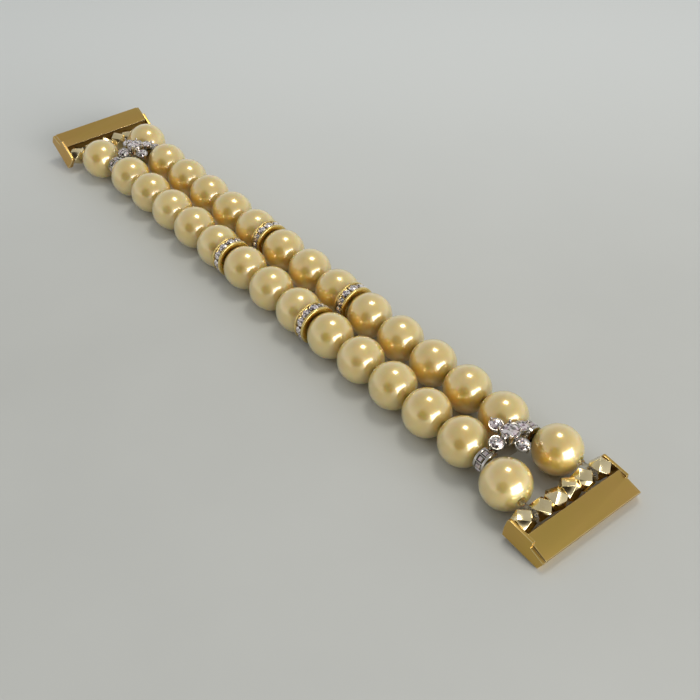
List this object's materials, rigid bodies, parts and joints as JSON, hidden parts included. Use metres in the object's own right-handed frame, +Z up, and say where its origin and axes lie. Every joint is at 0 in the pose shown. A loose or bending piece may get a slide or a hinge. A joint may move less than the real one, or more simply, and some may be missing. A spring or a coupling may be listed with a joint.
{
  "type": "pearl watch band",
  "caption": "Two-strand elastic watch band of pearls with crystal spacers, swinging end brackets and gold bead rows, for a watch case with slots.",
  "frame": {"origin": "on the table, under the middle row of pearls, half way between the two strands", "axes": "+X along the band towards the near end of the picture, +Y from the front strand to the back strand, +Z up out of the show side"},
  "size_m": [0.1438, 0.0216, 0.0083],
  "materials": {
    "pearl": "glossy pearl, champagne",
    "cord": "smooth elastic",
    "rondelle_gold": "polished gold plate",
    "crystal": "clear, faceted",
    "spacer_silver": "polished silver plate",
    "pin_steel": "plain steel",
    "bead_gold": "polished pale gold",
    "bracket_gold": "satin gold plate"
  },
  "bodies": {
    "row_01": {"pearl_front_01": "pearl", "pearl_back_01": "pearl", "cord_link_01": "cord"},
    "row_02": {"pearl_front_02": "pearl", "pearl_back_02": "pearl", "cord_link_02": "cord"},
    "row_03": {"pearl_front_03": "pearl", "pearl_back_03": "pearl", "cord_link_03": "cord"},
    "row_04": {"pearl_front_04": "pearl", "pearl_back_04": "pearl", "cord_link_04": "cord"},
    "row_05": {"pearl_front_05": "pearl", "pearl_back_05": "pearl", "cord_link_05": "cord"},
    "row_06": {"pearl_front_06": "pearl", "pearl_back_06": "pearl", "cord_link_06": "cord"},
    "row_07": {"pearl_front_07": "pearl", "pearl_back_07": "pearl", "cord_link_07": "cord"},
    "row_08": {"pearl_front_08": "pearl", "pearl_back_08": "pearl", "cord_link_08": "cord"},
    "row_09": {"pearl_front_09": "pearl", "pearl_back_09": "pearl", "cord_link_09": "cord"},
    "row_10": {"pearl_front_10": "pearl", "pearl_back_10": "pearl", "cord_link_10": "cord"},
    "row_11": {"pearl_front_11": "pearl", "pearl_back_11": "pearl", "cord_link_11": "cord"},
    "row_12": {"pearl_front_12": "pearl", "pearl_back_12": "pearl", "cord_link_12": "cord"},
    "row_13": {"pearl_front_13": "pearl", "pearl_back_13": "pearl", "cord_link_13": "cord"},
    "row_14": {"pearl_front_14": "pearl", "pearl_back_14": "pearl", "cord_link_14": "cord"},
    "row_15": {"pearl_front_15": "pearl", "pearl_back_15": "pearl", "cord_link_15": "cord"},
    "rondelle_pair_far": {"rondelles_far": "rondelle_gold", "rondelle_crystals_far": "crystal"},
    "spacer_set_far": {"spacer_far": "spacer_silver", "spacer_crystals_far": "crystal"},
    "bracket_set_far": {"bracket_far": "bracket_gold", "pin_far": "pin_steel"},
    "bead_row_far": {"beads_far": "bead_gold"},
    "rondelle_pair_near": {"rondelles_near": "rondelle_gold", "rondelle_crystals_near": "crystal"},
    "spacer_set_near": {"spacer_near": "spacer_silver", "spacer_crystals_near": "crystal"},
    "bracket_set_near": {"bracket_near": "bracket_gold", "pin_near": "pin_steel"},
    "bead_row_near": {"beads_near": "bead_gold"}
  },
  "joints": [
    {"name": "bend_row_08_to_row_07", "type": "hinge", "parent": "row_08", "child": "row_07", "pos_m": [-0.00405, 0, 0.004], "axis": [0, -1, 0], "range_deg": [-15, 15]},
    {"name": "bend_row_07_to_rondelles_far", "type": "hinge", "parent": "row_07", "child": "rondelle_pair_far", "pos_m": [-0.0122, 0, 0.004], "axis": [0, -1, 0], "range_deg": [-7, 7]},
    {"name": "bend_rondelles_far_to_row_06", "type": "hinge", "parent": "rondelle_pair_far", "child": "row_06", "pos_m": [-0.013, 0, 0.004], "axis": [0, -1, 0], "range_deg": [-7, 7]},
    {"name": "bend_row_06_to_row_05", "type": "hinge", "parent": "row_06", "child": "row_05", "pos_m": [-0.02115, 0, 0.004], "axis": [0, -1, 0], "range_deg": [-15, 15]},
    {"name": "bend_row_05_to_row_04", "type": "hinge", "parent": "row_05", "child": "row_04", "pos_m": [-0.02925, 0, 0.004], "axis": [0, -1, 0], "range_deg": [-15, 15]},
    {"name": "bend_row_04_to_row_03", "type": "hinge", "parent": "row_04", "child": "row_03", "pos_m": [-0.03735, 0, 0.004], "axis": [0, -1, 0], "range_deg": [-15, 15]},
    {"name": "bend_row_03_to_row_02", "type": "hinge", "parent": "row_03", "child": "row_02", "pos_m": [-0.04545, 0, 0.004], "axis": [0, -1, 0], "range_deg": [-15, 15]},
    {"name": "bend_row_02_to_spacer_far", "type": "hinge", "parent": "row_02", "child": "spacer_set_far", "pos_m": [-0.05354, 0, 0.004], "axis": [0, -1, 0], "range_deg": [-10, 10]},
    {"name": "bend_spacer_far_to_row_01", "type": "hinge", "parent": "spacer_set_far", "child": "row_01", "pos_m": [-0.05562, 0, 0.004], "axis": [0, -1, 0], "range_deg": [-10, 10]},
    {"name": "bracket_swing_far", "type": "hinge", "parent": "row_01", "child": "bracket_set_far", "pos_m": [-0.06568, 0, 0.0031], "axis": [0, -1, 0], "range_deg": [-32, 118]},
    {"name": "bead_spin_far", "type": "hinge", "parent": "bracket_set_far", "child": "bead_row_far", "pos_m": [-0.06568, 0, 0.0031], "axis": [0, -1, 0], "continuous": true},
    {"name": "bend_row_08_to_row_09", "type": "hinge", "parent": "row_08", "child": "row_09", "pos_m": [0.00405, 0, 0.004], "axis": [0, 1, 0], "range_deg": [-15, 15]},
    {"name": "bend_row_09_to_rondelles_near", "type": "hinge", "parent": "row_09", "child": "rondelle_pair_near", "pos_m": [0.0122, 0, 0.004], "axis": [0, 1, 0], "range_deg": [-7, 7]},
    {"name": "bend_rondelles_near_to_row_10", "type": "hinge", "parent": "rondelle_pair_near", "child": "row_10", "pos_m": [0.013, 0, 0.004], "axis": [0, 1, 0], "range_deg": [-7, 7]},
    {"name": "bend_row_10_to_row_11", "type": "hinge", "parent": "row_10", "child": "row_11", "pos_m": [0.02115, 0, 0.004], "axis": [0, 1, 0], "range_deg": [-15, 15]},
    {"name": "bend_row_11_to_row_12", "type": "hinge", "parent": "row_11", "child": "row_12", "pos_m": [0.02925, 0, 0.004], "axis": [0, 1, 0], "range_deg": [-15, 15]},
    {"name": "bend_row_12_to_row_13", "type": "hinge", "parent": "row_12", "child": "row_13", "pos_m": [0.03735, 0, 0.004], "axis": [0, 1, 0], "range_deg": [-15, 15]},
    {"name": "bend_row_13_to_row_14", "type": "hinge", "parent": "row_13", "child": "row_14", "pos_m": [0.04545, 0, 0.004], "axis": [0, 1, 0], "range_deg": [-15, 15]},
    {"name": "bend_row_14_to_spacer_near", "type": "hinge", "parent": "row_14", "child": "spacer_set_near", "pos_m": [0.05354, 0, 0.004], "axis": [0, 1, 0], "range_deg": [-10, 10]},
    {"name": "bend_spacer_near_to_row_15", "type": "hinge", "parent": "spacer_set_near", "child": "row_15", "pos_m": [0.05562, 0, 0.004], "axis": [0, 1, 0], "range_deg": [-10, 10]},
    {"name": "bracket_swing_near", "type": "hinge", "parent": "row_15", "child": "bracket_set_near", "pos_m": [0.06568, 0, 0.0031], "axis": [0, 1, 0], "range_deg": [-72, 77]},
    {"name": "bead_spin_near", "type": "hinge", "parent": "bracket_set_near", "child": "bead_row_near", "pos_m": [0.06568, 0, 0.0031], "axis": [0, 1, 0], "continuous": true}
  ]
}
